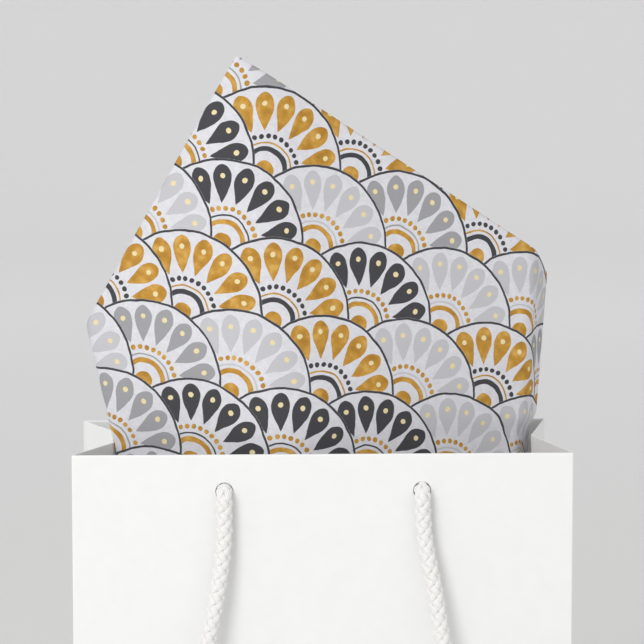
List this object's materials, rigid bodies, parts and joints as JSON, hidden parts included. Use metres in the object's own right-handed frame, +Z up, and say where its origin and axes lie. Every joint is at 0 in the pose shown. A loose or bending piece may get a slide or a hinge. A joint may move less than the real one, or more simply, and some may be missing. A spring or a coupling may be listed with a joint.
{
  "type": "gift bag",
  "caption": "Paper gift bag with side gussets, turned-in top edge, braided rope handles and a folded sheet of patterned tissue standing in its mouth.",
  "frame": {"origin": "centre of the base, on the surface that the bag stands on", "axes": "+Z up from the base to the mouth, front panel towards -Y, +X to the right as seen from the front"},
  "size_m": [0.2032, 0.1532, 0.4142],
  "materials": {
    "bag_paper": "smooth white coated art paper, satin",
    "board": "grey recycled board, matt",
    "rope": "white braided cotton cord",
    "tissue": "pale grey fibrous paper printed in gold, greys and charcoal"
  },
  "bodies": {
    "root": {"back_base_flap": "bag_paper", "back_hem": "bag_paper", "back_panel": "bag_paper", "back_rope_ends": "rope", "back_rope_knots": "rope", "back_top_board": "board", "base_board": "board", "front_base_flap": "bag_paper", "front_hem": "bag_paper", "front_panel": "bag_paper", "front_rope_ends": "rope", "front_rope_knots": "rope", "front_top_board": "board", "left_base_flap": "bag_paper", "left_gusset_back_half": "bag_paper", "left_gusset_foot": "bag_paper", "left_gusset_front_half": "bag_paper", "left_hem": "bag_paper", "right_base_flap": "bag_paper", "right_gusset_back_half": "bag_paper", "right_gusset_foot": "bag_paper", "right_gusset_front_half": "bag_paper", "right_hem": "bag_paper", "seam_flap": "bag_paper"},
    "front_handle": {"front_rope_loop": "rope"},
    "back_handle": {"back_rope_loop": "rope"},
    "tissue": {"tissue_sheet": "tissue"}
  },
  "joints": [
    {"name": "front_handle_swing", "type": "hinge", "parent": "root", "child": "front_handle", "pos_m": [0, -0.0549, 0.239], "axis": [-1, 0, 0], "range_deg": [0, 175]},
    {"name": "back_handle_swing", "type": "hinge", "parent": "root", "child": "back_handle", "pos_m": [0, 0.0549, 0.239], "axis": [1, 0, 0], "range_deg": [0, 175]},
    {"name": "tissue_lift", "type": "slide", "parent": "root", "child": "tissue", "axis": [0, 0, 1], "range_m": [0, 0.235]}
  ]
}
